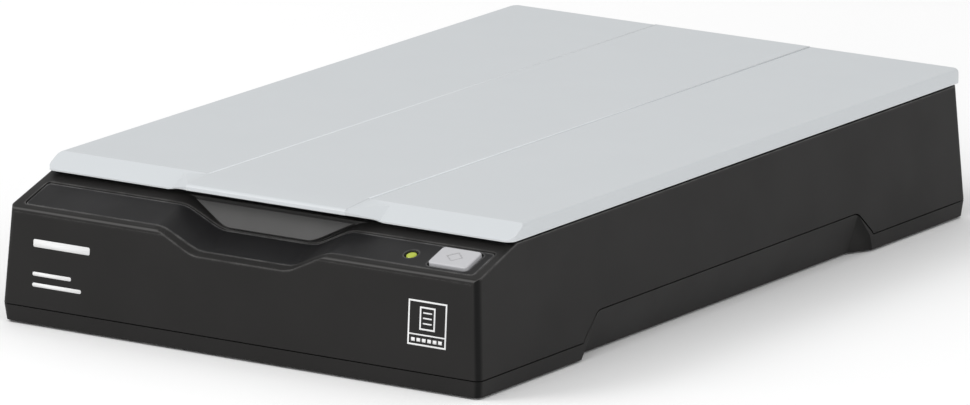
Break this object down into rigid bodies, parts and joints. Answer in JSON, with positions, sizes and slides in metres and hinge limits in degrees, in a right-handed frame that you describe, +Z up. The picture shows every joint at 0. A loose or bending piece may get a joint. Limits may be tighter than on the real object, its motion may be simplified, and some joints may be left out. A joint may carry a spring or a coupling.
{
  "type": "flatbed scanner",
  "caption": "Compact flatbed scanner with a hinged lid on lifting posts, a belt-driven sensor carriage under a glass bed and a sprung scan button.",
  "frame": {"origin": "centre of the footprint, at the level that the rubber feet stand on", "axes": "+Z up, -Y towards the front with the button panel, +X to the right of somebody facing the front"},
  "size_m": [0.145, 0.234, 0.0404],
  "materials": {
    "charcoal_plastic": "fine-textured moulded plastic",
    "panel_plastic": "satin moulded plastic",
    "silver_plastic": "fine-textured silver-grey moulded plastic",
    "grey_plastic": "satin",
    "button_plastic": "satin gloss",
    "lime_lens": "clear tinted",
    "foot_rubber": "matte",
    "zinc_steel": "zinc plated",
    "nickel_steel": "nickel plated",
    "ground_steel": "ground bright",
    "circuit_board": "solder resist",
    "black_plastic": "moulded",
    "chip_epoxy": "epoxy",
    "tape": "adhesive tape",
    "platen_glass": "polished float glass",
    "sensor_glass": "polished",
    "white_film": "matte white film",
    "foam": "open-cell foam",
    "flex_film": "laminated ribbon",
    "nylon": "natural nylon",
    "belt_rubber": "toothed belt",
    "lens_resin": "lens rows in black resin",
    "light_guide_resin": "clear acrylic"
  },
  "bodies": {
    "base": {"lower_case": "charcoal_plastic", "upper_case": "charcoal_plastic", "foot_front_left": "foot_rubber", "foot_front_right": "foot_rubber", "foot_rear_left": "foot_rubber", "foot_rear_right": "foot_rubber", "case_screw_front_left": "zinc_steel", "case_screw_front_right": "zinc_steel", "case_screw_rear_left": "zinc_steel", "case_screw_rear_right": "zinc_steel", "operator_panel": "panel_plastic", "led_lens": "lime_lens", "status_led": "lime_lens", "panel_board": "circuit_board", "tact_switch": "black_plastic", "finger_grip": "grey_plastic", "glass_tape": "tape", "platen_glass": "platen_glass", "reference_strip": "white_film", "main_board": "circuit_board", "controller_chip": "chip_epoxy", "memory_chip": "chip_epoxy", "usb_socket": "nickel_steel", "dc_inlet": "black_plastic", "home_sensor": "black_plastic", "flex_cable": "flex_film", "guide_rod": "ground_steel", "rod_holder_front": "black_plastic", "rod_holder_rear": "black_plastic", "motor_bracket": "zinc_steel", "stepper_motor": "nickel_steel", "idler_bracket": "zinc_steel", "drive_belt": "belt_rubber"},
    "carriage": {"carriage_frame": "black_plastic", "cis_housing": "black_plastic", "cis_window": "sensor_glass", "rod_lens_array": "lens_resin", "light_guide": "light_guide_resin", "cis_spring_left": "ground_steel", "cis_spring_right": "ground_steel", "glide_left": "nylon", "glide_right": "nylon", "rod_bush_front": "nylon", "rod_bush_rear": "nylon", "belt_clamp": "black_plastic"},
    "motor_pinion": {"motor_pinion": "nylon"},
    "drive_gear": {"drive_gear": "nylon"},
    "idler_pulley": {"idler_pulley": "nylon"},
    "scan_button": {"scan_button": "button_plastic"},
    "hinge_posts": {"hinge_post_left": "charcoal_plastic", "hinge_post_right": "charcoal_plastic"},
    "lid": {"lid_cover": "silver_plastic", "lid_liner": "charcoal_plastic", "document_foam": "foam", "document_sheet": "white_film", "hinge_pin_left": "ground_steel", "hinge_pin_right": "ground_steel"}
  },
  "joints": [
    {"name": "carriage_slide", "type": "slide", "parent": "base", "child": "carriage", "axis": [0, -1, 0], "range_m": [0, 0.15]},
    {"name": "drive_gear_spin", "type": "hinge", "parent": "base", "child": "drive_gear", "pos_m": [0.0355, 0.0925, 0.0144], "axis": [0, 0, 1], "range_deg": [0, 1570]},
    {"name": "idler_pulley_spin", "type": "hinge", "parent": "base", "child": "idler_pulley", "pos_m": [0.0355, -0.098, 0.0108], "axis": [0, 0, 1], "range_deg": [0, 1570]},
    {"name": "motor_pinion_spin", "type": "hinge", "parent": "base", "child": "motor_pinion", "pos_m": [0.05, 0.097, 0.0144], "axis": [0, 0, 1], "range_deg": [-6280, 0]},
    {"name": "scan_button_press", "type": "slide", "parent": "base", "child": "scan_button", "axis": [0, 0.3145, -0.9493], "range_m": [0, 0.0008], "stiffness_N_per_m": 300, "springref_m": -0.0004},
    {"name": "hinge_lift", "type": "slide", "parent": "base", "child": "hinge_posts", "axis": [0, 0, 1], "range_m": [0, 0.006]},
    {"name": "lid_hinge", "type": "hinge", "parent": "hinge_posts", "child": "lid", "pos_m": [0, 0.1154, 0.0378], "axis": [-1, 0, 0], "range_deg": [0, 98]}
  ],
  "couplings": [
    {"joint": "drive_gear_spin", "follows": "carriage_slide", "rad_per_m": 181.82},
    {"joint": "idler_pulley_spin", "follows": "carriage_slide", "rad_per_m": 181.82},
    {"joint": "motor_pinion_spin", "follows": "carriage_slide", "rad_per_m": -727.27}
  ]
}
